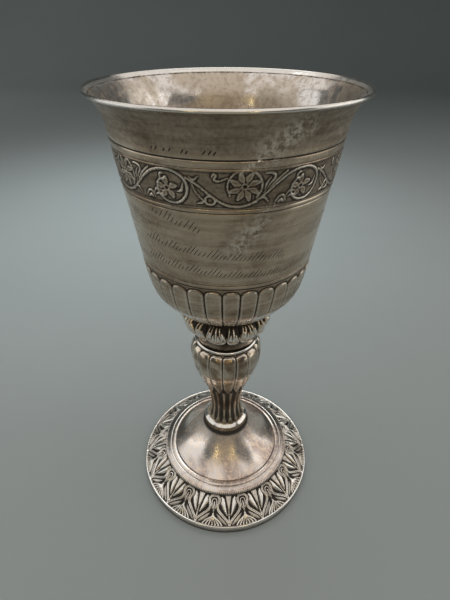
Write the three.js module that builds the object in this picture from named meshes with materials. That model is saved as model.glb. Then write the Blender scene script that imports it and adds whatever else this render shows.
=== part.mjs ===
// A silver goblet: a hollow bowl with a lobed underside, a cast leaf collar, a lobed baluster stem,
// a spun foot dome with a milled edge and a stamped palmette border that it stands on.
// Millimetres, +Z up, origin at the middle of the resting ring, the front towards -Y.
import * as THREE from "three";

// Heights above the table
const HEIGHT = 175;
const LIP_THICKNESS = 0.95;
const FRIEZE_TOP = 162.8;
const FRIEZE_BOTTOM = 149.9;
const REED_BAND_TOP = 124.8;
const LOBES_TOP = 122.5;
const BOWL_BASE = 98.4;
const BOWL_FLOOR = 99.8;
const KNOP_RING = 81.2;
const KNOP_BULGE = 74.6;
const KNOP_FOOT = 55;
const FLANGE_TOP = 33.5;
const FLANGE_BOTTOM = 30.2;
const DISC_EDGE_TOP = 12.9;
const FOOT_EDGE_TOP = 4.5;

// Radii
const RIM_RADIUS = 41.2;
const FRIEZE_TOP_RADIUS = 35.4;
const REED_BAND_RADIUS = 30;
const SEAT_RADIUS = 10.5;
const COLLAR_RADIUS = 17.1;
const COLLAR_TIP_RADIUS = 14.4;
const COLLAR_BORE = 8.6;
const SPIGOT_RADIUS = 8.2;
const KNOP_RADIUS = 14.5;
const KNOP_RING_RADIUS = 12.9;
const NECK_RADIUS = 6.9;
const FLANGE_RADIUS = 10.1;
const RING_LINE_RADIUS = 24.5;
const DISC_RADIUS = 30.5;
const FOOT_RADIUS = 41.4;
const RESTING_RADIUS = 41;
const RESTING_WIDTH = 2.6;

// Walls, gaps and relief
const WALL = 1.1;
const JOINT_GAP = 0.3;
const LINE_DEPTH = 0.35;
const LOBE_DEPTH = 0.9;
const KNOP_LOBE_DEPTH = 1.1;
const NECK_FLUTE_DEPTH = 0.8;
const LEAF_RIB_DEPTH = 0.8;
const PALMETTE_RELIEF = 0.9;

// Counts, and the turn of a groove or a motif from the front, in degrees towards +X
const BOWL_LOBES = 32;
const BOWL_LOBE_TURN = -2.5;
const KNOP_LOBES = 16;
const KNOP_LOBE_TURN = -5.6;
const COLLAR_PAIRS = 8;
const COLLAR_TURN = -26.5;
const WIDE_LEAF_STEPS = 7;
const NARROW_LEAF_STEPS = 5;
const PALMETTES = 16;
const PALMETTE_TURN = 2.8;
const PALMETTE_STEPS = 8;
const BOWL_LOBE_STEPS = 3;
const KNOP_LOBE_STEPS = 4;
const ROUND_STEPS = 48;
const INSIDE_STEPS = 30;

// A ring of points round the axis; at(u) gives [radius, height] at the share u of one repeat.
function ring(count, repeats, turn, at) {
  const start = THREE.MathUtils.degToRad(turn - 90);
  const points = Array.from({ length: count }, (_, i) => {
    const angle = start + (2 * Math.PI * i) / count;
    const [radius, z] = at(((i * repeats) / count) % 1);
    return [radius * Math.cos(angle), radius * Math.sin(angle), z];
  });
  return { points, repeats };
}

// A plain round ring, turned like the patterned rings of its piece.
function roundRing(count, turn, radius, z) {
  return ring(count, count, turn, () => [radius, z]);
}

// A single point on the axis.
function pole(z) {
  return { points: [[0, 0, z]], repeats: 1 };
}

// Joins two neighbouring rings with triangles, taking the next point of whichever ring is behind.
// Where both are level, the two halves of a repeat take mirrored diagonals.
function zipRings(triangles, low, high) {
  const lowCount = low.points.length;
  const highCount = high.points.length;
  const stepsLow = lowCount > 1 ? lowCount : 0;
  const stepsHigh = highCount > 1 ? highCount : 0;
  let a = 0;
  let b = 0;
  while (a < stepsLow || b < stepsHigh) {
    const here = low.first + (a % lowCount);
    const there = high.first + (b % highCount);
    const lead = (b + 1) * stepsLow - (a + 1) * stepsHigh;
    const firstHalf = (((a + 0.5) * low.repeats) / lowCount) % 1 < 0.5;
    const lowIsNext = lead > 0 || (lead === 0 && firstHalf);
    if (b >= stepsHigh || (a < stepsLow && lowIsNext)) {
      triangles.push(here, low.first + ((a + 1) % lowCount), there);
      a += 1;
    } else {
      triangles.push(here, high.first + ((b + 1) % highCount), there);
      b += 1;
    }
  }
}

// A closed surface through the rings in order: up the outside, then down the inside.
// It ends in a pole at both ends, or else its last ring joins its first.
function ringGeometry(rings) {
  const positions = [];
  for (const each of rings) {
    each.first = positions.length / 3;
    positions.push(...each.points.flat());
  }
  const triangles = [];
  for (let i = 1; i < rings.length; i++) zipRings(triangles, rings[i - 1], rings[i]);
  if (rings[0].points.length > 1) zipRings(triangles, rings[rings.length - 1], rings[0]);
  const geometry = new THREE.BufferGeometry();
  geometry.setAttribute("position", new THREE.Float32BufferAttribute(positions, 3));
  geometry.setIndex(triangles);
  geometry.computeVertexNormals();
  return geometry;
}

function silverMesh(name, rings, colour, roughness) {
  const material = new THREE.MeshStandardMaterial({ color: colour, roughness, metalness: 1 });
  const mesh = new THREE.Mesh(ringGeometry(rings), material);
  mesh.name = name;
  return mesh;
}

// A lobe's swell across its width: nothing in the grooves at u = 0 and 1, one on its crest.
function swell(u) {
  return 1 - (2 * u - 1) ** 2;
}

// The bowl's wall between the reeded band and the frieze is a straight cone.
function coneRadius(z) {
  const share = (z - REED_BAND_TOP) / (FRIEZE_TOP - REED_BAND_TOP);
  return REED_BAND_RADIUS + share * (FRIEZE_TOP_RADIUS - REED_BAND_RADIUS);
}

// The trumpet flare above the frieze, from its top line to the lip, opening as a power of the height.
function flareRadius(z) {
  const share = (z - FRIEZE_TOP) / (HEIGHT - FRIEZE_TOP);
  const straight = coneRadius(z);
  return straight + (RIM_RADIUS - coneRadius(HEIGHT)) * share ** 3.2;
}

// A bowl that is turned with its lobes; the underside's crests follow a short profile.
function bowl() {
  const turned = (radius, z, count = ROUND_STEPS) => roundRing(count, BOWL_LOBE_TURN, radius, z);
  const lobed = (crest, z, depth) =>
    ring(BOWL_LOBES * BOWL_LOBE_STEPS, BOWL_LOBES, BOWL_LOBE_TURN, (u) => [
      crest - depth * (1 - swell(u)),
      z,
    ]);
  const onCone = (z, out = 0) => turned(coneRadius(z) + out, z);
  const underside = [
    [18, 100.4, 0.55],
    [21.3, 102.6, 0.75],
    [24, 105.8, 1],
    [27.3, 110.8, 1],
    [28.6, 115.5, 1],
    [29.4, 120.9, 1],
  ];
  const inside = [
    [RIM_RADIUS - 2.2, HEIGHT - 1.4],
    [36, 170.4],
    [coneRadius(160) - WALL, 160],
    [coneRadius(125) - WALL, 125],
    [27.4, 114.5],
    [23.6, 106.8],
    [18, 102],
    [10, BOWL_FLOOR + 0.2],
  ];
  return [
    pole(BOWL_BASE),
    turned(SEAT_RADIUS, BOWL_BASE),
    ...underside.map(([crest, z, share]) => lobed(crest, z, LOBE_DEPTH * share)),
    onCone(LOBES_TOP, -LINE_DEPTH),
    onCone(LOBES_TOP + 0.5, 0.15),
    onCone(REED_BAND_TOP - 0.3, 0.15),
    onCone(REED_BAND_TOP, -LINE_DEPTH),
    onCone(REED_BAND_TOP + 0.4),
    onCone(FRIEZE_BOTTOM - 1.1),
    onCone(FRIEZE_BOTTOM - 0.6, LINE_DEPTH),
    onCone(FRIEZE_BOTTOM + 0.3, LINE_DEPTH),
    onCone(FRIEZE_BOTTOM + 0.8),
    onCone(FRIEZE_TOP - 0.4),
    onCone(FRIEZE_TOP, -LINE_DEPTH),
    turned(flareRadius(163.3), 163.3),
    turned(flareRadius(168), 168),
    turned(flareRadius(171.2), 171.2),
    turned(flareRadius(173), 173),
    turned(RIM_RADIUS - 0.25, HEIGHT - LIP_THICKNESS),
    turned(RIM_RADIUS, HEIGHT - LIP_THICKNESS * 0.7),
    turned(RIM_RADIUS, HEIGHT - 0.2),
    turned(RIM_RADIUS - 0.3, HEIGHT),
    turned(RIM_RADIUS - 0.8, HEIGHT),
    ...inside.map(([radius, z]) => turned(radius, z, INSIDE_STEPS)),
    pole(BOWL_FLOOR),
  ];
}

// Wide and narrow leaves by turns that swell out below the bowl and end in round tips.
// A wide leaf has three ribs, a narrow one a single rib; the partings between leaves are deeper.
function leafCollar() {
  const pairSteps = WIDE_LEAF_STEPS + NARROW_LEAF_STEPS;
  const plain = (radius, z) => roundRing(INSIDE_STEPS, COLLAR_TURN, radius, z);
  const shaped = (at) => ring(pairSteps * COLLAR_PAIRS, COLLAR_PAIRS, COLLAR_TURN, at);
  const partings = [0, WIDE_LEAF_STEPS];
  const valleys = [2, WIDE_LEAF_STEPS - 2, WIDE_LEAF_STEPS + 1, pairSteps - 1];
  const ribbed = (radius, z, share) =>
    shaped((u) => {
      const step = Math.round(u * pairSteps);
      const cut = partings.includes(step) ? 2 : Number(valleys.includes(step));
      return [radius - share * cut * LEAF_RIB_DEPTH, z];
    });
  const tips = shaped((u) => {
    const step = u * pairSteps;
    const acrossWide = step / WIDE_LEAF_STEPS;
    const across = acrossWide < 1 ? acrossWide : (step - WIDE_LEAF_STEPS) / NARROW_LEAF_STEPS;
    const scallop = (1 - swell(across)) ** 1.5;
    return [COLLAR_TIP_RADIUS + 0.3 * scallop, 88.7 + 1.7 * scallop];
  });
  return [
    plain(COLLAR_BORE, 90.6),
    plain(12.3, 90.4),
    tips,
    ribbed(16, 91, 0.7),
    ribbed(COLLAR_RADIUS + 0.2, 93.4, 1),
    ribbed(16.6, 95.3, 1),
    ribbed(14, 96.7, 0.7),
    plain(COLLAR_BORE, BOWL_BASE - JOINT_GAP),
  ];
}

// A baluster: a fluted neck on a round flange, a knop of lobes, a ring and a waist below the bowl.
function stem() {
  const steps = KNOP_LOBES * KNOP_LOBE_STEPS;
  const plain = (radius, z) => roundRing(INSIDE_STEPS, KNOP_LOBE_TURN, radius, z);
  const lobed = (crest, z, depth) =>
    ring(steps, KNOP_LOBES, KNOP_LOBE_TURN, (u) => [crest - depth * (1 - swell(u)), z]);
  return [
    pole(FLANGE_BOTTOM),
    plain(FLANGE_RADIUS, FLANGE_BOTTOM),
    plain(FLANGE_RADIUS, FLANGE_TOP),
    lobed(8.9, FLANGE_TOP + 0.2, 0.5),
    lobed(7.5, 37.5, NECK_FLUTE_DEPTH),
    lobed(NECK_RADIUS, 42, NECK_FLUTE_DEPTH),
    lobed(7.4, 48.5, NECK_FLUTE_DEPTH),
    lobed(9, KNOP_FOOT, NECK_FLUTE_DEPTH),
    lobed(11.3, 61.3, KNOP_LOBE_DEPTH),
    lobed(13.2, 66.8, KNOP_LOBE_DEPTH),
    lobed(KNOP_RADIUS, KNOP_BULGE - 1.6, KNOP_LOBE_DEPTH),
    lobed(14.3, KNOP_BULGE + 2.2, KNOP_LOBE_DEPTH),
    lobed(13.3, KNOP_RING - 1.9, 0.6),
    plain(KNOP_RING_RADIUS - 0.7, KNOP_RING - 0.9),
    plain(KNOP_RING_RADIUS, KNOP_RING),
    plain(KNOP_RING_RADIUS - 0.7, KNOP_RING + 0.6),
    plain(9.6, KNOP_RING + 1.2),
    plain(7.8, 86),
    plain(SPIGOT_RADIUS, BOWL_BASE - JOINT_GAP),
    pole(BOWL_BASE - JOINT_GAP),
  ];
}

// The dome's outer height at a radius: a hollow curve from the flange to the ring lines.
function domeHeight(radius) {
  const top = FLANGE_BOTTOM - JOINT_GAP;
  const bottom = DISC_EDGE_TOP + 1.7;
  const left = 1 - (radius - FLANGE_RADIUS) / (RING_LINE_RADIUS - FLANGE_RADIUS);
  return bottom + (top - bottom) * (0.55 * left ** 2 + 0.45 * left);
}

// A thin spun dome, open below, that ends in a flat band with an upright edge.
function footDome() {
  const turned = (radius, z) => roundRing(ROUND_STEPS, PALMETTE_TURN, radius, z);
  const curve = [1, 0.68, 0.42, 0.2, 0].map(
    (share) => FLANGE_RADIUS + share * (RING_LINE_RADIUS - FLANGE_RADIUS),
  );
  const inner = (radius) => roundRing(INSIDE_STEPS, PALMETTE_TURN, radius, domeHeight(radius + 1) - WALL);
  return [
    pole(FLANGE_BOTTOM - JOINT_GAP - WALL),
    inner(FLANGE_RADIUS - 1),
    inner(15.5),
    inner(RING_LINE_RADIUS - 1),
    turned(DISC_RADIUS - 0.4, DISC_EDGE_TOP - 0.8),
    turned(DISC_RADIUS, DISC_EDGE_TOP - 0.7),
    turned(DISC_RADIUS, DISC_EDGE_TOP),
    turned(27.4, DISC_EDGE_TOP + 1.15),
    turned(27.1, DISC_EDGE_TOP + 1),
    turned(25.6, DISC_EDGE_TOP + 1.75),
    ...curve.map((radius) => turned(radius, domeHeight(radius))),
    pole(FLANGE_BOTTOM - JOINT_GAP),
  ];
}

// The border's ground at a share of its width from the dome: it falls and bulges to the rim.
function borderHeight(share) {
  const inner = DISC_EDGE_TOP - 1.35;
  return inner - (inner - FOOT_EDGE_TOP) * share ** 1.25;
}

// Palmettes in low relief: two leaves and an arch towards the dome, a node and a fan at the rim.
function palmetteRelief(u, share) {
  const column = Math.round(u * PALMETTE_STEPS) % PALMETTE_STEPS;
  const leafOrArch = column % 2 === 1 ? 1 : -0.5;
  const nodeOrFan = column === 0 || column === 4 ? 1 : -0.6;
  const toRim = THREE.MathUtils.smoothstep(share, 0.5, 0.75);
  const ends = Math.sin(Math.PI * THREE.MathUtils.clamp(share, 0.06, 0.94));
  return PALMETTE_RELIEF * ends * (leafOrArch * (1 - toRim) + nodeOrFan * toRim);
}

// A stamped border, open below, on a flat resting ring; its inner edge lies under the dome's band.
function footBorder() {
  const turned = (radius, z) => roundRing(ROUND_STEPS, PALMETTE_TURN, radius, z);
  const innerRadius = DISC_RADIUS - 0.1;
  const outerRadius = FOOT_RADIUS - 1.1;
  const relief = [0.94, 0.74, 0.54, 0.3, 0.09].map((share) =>
    ring(PALMETTES * PALMETTE_STEPS, PALMETTES, PALMETTE_TURN, (u) => [
      innerRadius + share * (outerRadius - innerRadius),
      borderHeight(share) + palmetteRelief(u, share),
    ]),
  );
  return [
    turned(RESTING_RADIUS - RESTING_WIDTH, 0),
    turned(RESTING_RADIUS, 0),
    turned(FOOT_RADIUS, FOOT_EDGE_TOP - 0.4),
    turned(FOOT_RADIUS - 0.3, FOOT_EDGE_TOP + 0.1),
    ...relief,
    turned(innerRadius, borderHeight(0) - 0.1),
    turned(innerRadius - 2.2, borderHeight(0) - 0.1),
    turned(innerRadius - 2.2, borderHeight(0) - 0.1 - WALL),
    turned(innerRadius + 2, borderHeight(0.2) - 0.8 - WALL),
    turned(RESTING_RADIUS - RESTING_WIDTH, 3.6),
  ];
}

const goblet = new THREE.Group();
goblet.add(
  silverMesh("bowl", bowl(), 0x8f8a82, 0.3),
  silverMesh("leaf_collar", leafCollar(), 0xb9b4ab, 0.32),
  silverMesh("stem", stem(), 0xa8a198, 0.26),
  silverMesh("foot_dome", footDome(), 0xb5a9a0, 0.3),
  silverMesh("foot_border", footBorder(), 0xb4b1aa, 0.34),
);
export default goblet;
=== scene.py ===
import math

import bpy
import numpy as np
from mathutils import Matrix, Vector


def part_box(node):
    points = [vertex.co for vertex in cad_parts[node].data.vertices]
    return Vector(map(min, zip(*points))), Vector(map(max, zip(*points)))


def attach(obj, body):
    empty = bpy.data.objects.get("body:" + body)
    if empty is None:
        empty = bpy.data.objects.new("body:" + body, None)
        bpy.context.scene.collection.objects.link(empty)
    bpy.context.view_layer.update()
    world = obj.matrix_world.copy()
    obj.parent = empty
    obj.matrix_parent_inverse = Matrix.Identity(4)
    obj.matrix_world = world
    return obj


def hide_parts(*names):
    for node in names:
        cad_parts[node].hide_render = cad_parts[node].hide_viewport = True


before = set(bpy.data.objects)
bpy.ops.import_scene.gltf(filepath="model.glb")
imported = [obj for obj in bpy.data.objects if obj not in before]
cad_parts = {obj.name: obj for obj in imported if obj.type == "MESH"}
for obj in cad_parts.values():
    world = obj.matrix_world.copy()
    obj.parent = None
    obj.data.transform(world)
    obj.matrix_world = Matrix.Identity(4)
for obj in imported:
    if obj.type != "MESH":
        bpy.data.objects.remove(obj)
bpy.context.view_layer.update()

# Lengths are millimetres until a mesh is made; MM turns them into metres. The stage is in metres.
MM = 0.001
# The front faces -Y. A turn is in degrees from the front towards +X.
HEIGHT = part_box("bowl")[1].z / MM
RIM_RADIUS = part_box("bowl")[1].x / MM
FOOT_RADIUS = min(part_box("foot_border")[1].xy) / MM
COLLAR_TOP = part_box("leaf_collar")[1].z / MM
STEM_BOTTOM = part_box("stem")[0].z / MM
STEM_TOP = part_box("stem")[1].z / MM
DOME_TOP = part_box("foot_dome")[1].z / MM
DISC_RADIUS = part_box("foot_dome")[1].x / MM
WALL = 1.1

# The bowl: its wall is a straight cone between two (radius, height) points
CONE_LOW = (30.0, 124.8)
CONE_HIGH = (35.4, 162.8)
CONE_SLOPE = (CONE_HIGH[0] - CONE_LOW[0]) / (CONE_HIGH[1] - CONE_LOW[1])
BOWL_SEAT = 98.4
BOWL_FLOOR = 99.8
BOWL_COLUMNS = 288
LOBES = 32
LOBE_COLUMNS = 18 * LOBES
LOBE_TURN = -2.5
LOBE_WARP = 0.09
LOBES_TOP = 122.3
# The height of the painted highlight band round the turn under the bowl
LOBES_TURNED_UNDER = 107.6

# The engraved frieze: six repeats of a scroll and a rosette
FRIEZE_REPEATS = 6
FRIEZE_TURN = -26.4
FRIEZE_LOW = 150.3
FRIEZE_HIGH = 160.4
FRIEZE_MIDDLE = 155.4
FRIEZE_COLUMNS = 144
FRIEZE_ROWS = 46
TILE = 2 * math.pi / FRIEZE_REPEATS * 34.4

# The stem
KNOP_LOBES = 16
KNOP_TURN = -5.6
KNOP_FOOT = 54.8
KNOP_MIDDLE = 67.0
KNOP_TOP = 80.5
STEM_COLUMNS = 320
FLANGE_TEETH = 80

# The leaf collar: pairs of a wide and a narrow shell
COLLAR_PAIRS = 8
COLLAR_TURN = -26.5
COLLAR_RADIUS = 16.2
PAIR_COLUMNS = 96
WIDE_FAN = 0.61
FAN_DROP = 3.8

# The foot
DISC_TEETH = 220
DOME_LOW = 14.6
DOME_NECK = 10.1
PALMETTES = 16
PALMETTE_TURN = 2.8 + 11.25
PALMETTE_COLUMNS = 72
BORDER_INNER = 30.4
BORDER_OUTER = 40.3
BORDER_SLOPE = 12.1
BORDER_COLUMNS = 288


# Curves and relief

def through(points, steps):
    """A curve through the points: on each span the cubic that leaves and meets its ends along the chords
    of their neighbours."""
    p = np.asarray(points, float)
    padded = np.vstack([2 * p[0] - p[1], p, 2 * p[-1] - p[-2]])
    t = np.linspace(0, 1, steps, endpoint=False)[:, None]
    a, b, c, d = (padded[i:len(padded) - 3 + i, None, :] for i in range(4))
    cubic = (3 * b - a - 3 * c + d) * t**3
    spans = 0.5 * (2 * b + (c - a) * t + (2 * a - 5 * b + 4 * c - d) * t**2 + cubic)
    return np.vstack([spans.reshape(-1, p.shape[1]), p[-1]])


def path_along(curve):
    """The length of the curve from its start to each of its points."""
    return np.concatenate([[0], np.cumsum(np.hypot(*np.diff(curve, axis=0).T))])


def evenly(points, spacing):
    """The smooth curve through the points, cut into steps of about the given length."""
    curve = through(points, 24)
    path = path_along(curve)
    steps = np.linspace(0, path[-1], max(2, int(round(path[-1] / spacing)) + 1))
    return np.stack([np.interp(steps, path, column) for column in curve.T], axis=1)


def smooth(low, high, x):
    """The cubic step: 0 below low, 1 above high, and 3t^2 - 2t^3 between."""
    t = np.clip((x - low) / (high - low), 0, 1)
    return t * t * (3 - 2 * t)


def hump(x, middle, width):
    """A bell round its middle: exp(-((x - middle) / width)^2)."""
    return np.exp(-(((x - middle) / width) ** 2))


def stroke(x, y, points, widths, height, period=None, steps=10):
    """A rounded bead along a curve: on the grid, the highest of the domes
    height * sqrt(1 - distance^2 / width^2) whose centres run along the curve and whose half widths run
    through the widths. With a period it repeats along x."""
    line = through(points, steps)
    share = np.linspace(0, 1, len(line))
    half = np.interp(share, np.linspace(0, 1, len(widths)), widths)
    raised = np.zeros_like(x)
    for shift in (0,) if period is None else (-period, 0, period):
        for (cx, cy), w in zip(line, half):
            near = 1 - ((x - cx - shift) ** 2 + (y - cy) ** 2) / w**2
            np.maximum(raised, np.sqrt(np.maximum(near, 0)), out=raised)
    return height * raised


def hollows(height, reach, depth):
    """How far each cell lies below its neighbourhood, from 0 to 1: (mean - height) / depth, with the mean
    over a square of 2 * reach + 1 cells, wrapped round the axis and held at the ends."""
    span = 2 * reach + 1
    rows = np.pad(height, ((reach, reach), (0, 0)), mode="edge")
    total = sum(rows[i:i + len(height)] for i in range(span))
    mean = sum(np.roll(total, k, axis=1) for k in range(-reach, reach + 1)) / span**2
    return np.clip((mean - height) / depth, 0, 1)


# Surfaces of rings

def turns(count, turn, warp=0.0, repeats=1):
    """The angle of each column; warp crowds the columns at the start of each repeat by a sine."""
    t = np.arange(count) / count * repeats
    t = t - warp * np.sin(2 * np.pi * t)
    return np.radians(turn + t / repeats * 360.0)


def around_axis(radius, angle, z):
    """Points at a radius and an angle from the front, at the height z."""
    return np.stack([radius * np.sin(angle), -radius * np.cos(angle), z + 0 * angle], axis=-1)


def band(profile, angles, relief=0.0, patina_and_painted_light=0.0):
    """Rings round the axis: each profile point (radius, z) is pushed along the profile's normal by the
    relief and carried round. Relief, and the share of patina and painted light, are a value, a column with
    one for each ring, or a grid."""
    profile = np.asarray(profile, float)
    ahead = np.gradient(profile, axis=0) if len(profile) > 1 else np.array([[0.0, 1.0]])
    normal = np.stack([ahead[:, 1], -ahead[:, 0]], axis=1)
    normal /= np.maximum(np.linalg.norm(normal, axis=1, keepdims=True), 1e-9)
    radius = profile[:, :1] + relief * normal[:, :1]
    z = profile[:, 1:] + relief * normal[:, 1:]
    positions = around_axis(radius, angles, z)
    return positions, np.broadcast_to(patina_and_painted_light, positions.shape[:2])


def pole(z):
    """One point on the axis, to close a surface."""
    return np.array([[[0.0, 0.0, z]]]), np.zeros((1, 1))


def count_points(parts):
    """How many points the bands hold."""
    return sum(depth.size for _, depth in parts)


def faces_between(low, high, n, m):
    """Arrays of faces between rings of n and m points that start at the numbers low and high. If one is a
    multiple of the other, each of its points, or the pole, owns a fan of the fine ring's sides, and a
    bridge closes the gap to its neighbour's fan."""
    j = np.arange(max(n, m))
    k = (j + 1) % len(j)
    if n == m:
        return [np.stack([low + j, low + k, high + k, high + j], axis=1)]
    fine, coarse = (high, low) if m > n else (low, high)
    ratio = max(n, m) // min(n, m)
    owner, neighbour = ((j + ahead + ratio // 2) // ratio % min(n, m) for ahead in (0, 1))
    fans = np.stack([fine + j, fine + k, coarse + owner], axis=1)
    bridges = np.stack([fine + k, coarse + neighbour, coarse + owner], axis=1)[owner != neighbour]
    return [fans[:, ::-1], bridges[:, ::-1]] if m > n else [fans, bridges]


def build(name, parts, closed=False, extra=()):
    """A piece from bands of rings in order, up the outside and down the inside; closed joins the last ring
    to the first. extra holds further closed shells as (positions, arrays of faces, share of patina and
    painted light)."""
    sizes = np.array([depth.shape[1] for _, depth in parts for _ in range(depth.shape[0])])
    starts = np.cumsum(sizes) - sizes
    positions = [points.reshape(-1, 3) for points, _ in parts]
    patina_and_painted_light = [depth.reshape(-1) for _, depth in parts]
    faces = []
    for a in range(len(sizes) if closed else len(sizes) - 1):
        b = (a + 1) % len(sizes)
        faces.extend(faces_between(starts[a], starts[b], sizes[a], sizes[b]))
    count = count_points(parts)
    for points, shells, depth in extra:
        positions.append(points)
        patina_and_painted_light.append(depth)
        faces.extend(shell + count for shell in shells)
        count += len(points)
    mesh = bpy.data.meshes.new(name)
    mesh.vertices.add(count)
    mesh.vertices.foreach_set("co", (np.vstack(positions) * MM).astype(np.float32).ravel())
    corners = np.concatenate([f.ravel() for f in faces])
    sides = np.concatenate([np.full(len(f), f.shape[1]) for f in faces])
    mesh.loops.add(len(corners))
    mesh.loops.foreach_set("vertex_index", corners.astype(np.int32))
    mesh.polygons.add(len(sides))
    mesh.polygons.foreach_set("loop_start", (np.cumsum(sides) - sides).astype(np.int32))
    mesh.update(calc_edges=True)
    mesh.polygons.foreach_set("use_smooth", np.ones(len(sides), bool))
    # The attribute holds patina and rubbed wear, and in places painted shade and painted highlights.
    keep_values(mesh, "patina_and_painted_light", np.concatenate(patina_and_painted_light))
    piece = bpy.data.objects.new(name, mesh)
    bpy.context.collection.objects.link(piece)
    return piece


def keep_values(mesh, name, values):
    """One number for each point, as an attribute that the materials read."""
    layer = mesh.attributes.new(name, "FLOAT", "POINT")
    layer.data.foreach_set("value", values.astype(np.float32))


def wires(points, normals, half_width, height, sides=6):
    """Flat closed beads on a surface, from (count, steps, 3) arrays of its points and outward normals. The
    section is a flat ellipse, a little sunk, that narrows at both ends as 0.25 + 0.75 * sqrt(sin)."""
    ahead = np.gradient(points, axis=1)
    ahead /= np.linalg.norm(ahead, axis=2, keepdims=True)
    across = np.cross(ahead, normals)
    share = np.linspace(0, 1, points.shape[1])[None, :, None]
    taper = 0.25 + 0.75 * np.sin(np.pi * share) ** 0.5
    angle = np.arange(sides) * 2 * np.pi / sides
    sideways = (half_width * taper * np.cos(angle))[..., None] * across[:, :, None, :]
    upwards = (height * np.sin(angle) * taper - 0.4 * height)[..., None] * normals[:, :, None, :]
    rings = points[:, :, None, :] + sideways + upwards
    count, steps = points.shape[:2]
    strip = [faces_between(i * sides, (i + 1) * sides, sides, sides)[0][:, ::-1] for i in range(steps - 1)]
    ring = np.arange(sides)
    caps = np.stack([ring, (steps - 1) * sides + ring[::-1]])
    first = np.arange(count)[:, None, None] * steps * sides
    faces = [(np.concatenate(strip) + first).reshape(-1, 4), (caps + first).reshape(-1, sides)]
    return rings.reshape(-1, 3), faces


# The bowl

def cone_radius(z):
    """The straight wall: the radius grows evenly with the height."""
    return CONE_LOW[0] + (z - CONE_LOW[1]) * CONE_SLOPE


def wall_radius(z):
    """The cone, and above the frieze a flare that grows to the lip as the power 3.2 of the height."""
    share = np.clip((z - CONE_HIGH[1]) / (HEIGHT - CONE_HIGH[1]), 0, 1)
    return cone_radius(z) + (RIM_RADIUS - cone_radius(HEIGHT)) * share**3.2


def lobe_relief(profile, columns):
    """Thirty-two panels, each a box with round corners: a groove along its outline with sunk ground above,
    a low bead inside the groove, and a swell as a parabola across. They fade out towards the seat, and a
    painted highlight band runs round the turn under the bowl."""
    phase = (np.arange(columns) / columns * LOBES) % 1
    phase = phase - LOBE_WARP * np.sin(2 * np.pi * phase)
    radius, z = profile[:, :1], profile[:, 1:]
    width = 2 * np.pi * radius / LOBES
    x = np.abs(phase[None, :] - 0.5) * width
    corner = np.minimum(2.5, width / 2)
    path = path_along(profile)
    down = (path[-1] - path)[:, None] - 0.45
    past_side, past_top = x - (width / 2 - corner), corner - down
    outside = np.hypot(np.maximum(past_side, 0), np.maximum(past_top, 0)) - corner
    outside = outside + np.minimum(np.maximum(past_side, past_top), 0)
    fade = smooth(9, 16, radius)
    groove, spandrel, bead = hump(outside, 0, 0.2), smooth(0.0, 0.25, outside), hump(outside, -0.6, 0.35)
    swell = 0.12 * (1 - (2 * x / width) ** 2)
    relief = fade * (0.1 * bead + swell - 0.5 * groove - 0.35 * spandrel)
    # Painted highlight: a bright band round the turn under the bowl.
    painted_highlight_band = hump(z, LOBES_TURNED_UNDER, 1.1)
    return relief, fade * np.clip(1.15 * groove + 0.5 * spandrel - 0.4 * bead - 1.2 * painted_highlight_band, -1, 1)


def spaced(*runs):
    """Heights in runs of even steps: each run is (first, last, count)."""
    return np.concatenate([np.linspace(*run) for run in runs])


def lined_wall(heights, lines):
    """The plain wall with engraved rings: each line (height, half width, depth) is a cut in the form of a
    bell that holds patina."""
    cut = -sum(depth * hump(heights, z, width) for z, width, depth in lines)[:, None]
    profile = np.stack([wall_radius(heights), heights], axis=1)
    return band(profile, turns(BOWL_COLUMNS, FRIEZE_TURN), cut, np.clip(-cut / 0.2, 0, 1))


# The frieze's curves lie in one repeat, in millimetres along the wall and up from its middle
VINE = [(5.6, 2.9), (8.6, 1.1), (12.0, -1.7), (15.6, -3.9), (19.2, -4.4), (22.6, -3.5), (25.4, -1.5),
        (28.6, 1.3), (31.6, 3.4), (34.8, 4.4), (37.8, 4.4), (40.6, 3.0), (41.8, 0.6), (41.2, -2.1),
        (39.2, -4.0), (36.4, -4.3), (34.0, -3.1), (33.1, -0.9), (34.0, 1.3), (36.0, 2.1)]
FLOWER = (0.0, -0.5)
ROSETTE = (20.3, 0.9)
RING_RADIUS = 4.35
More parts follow.
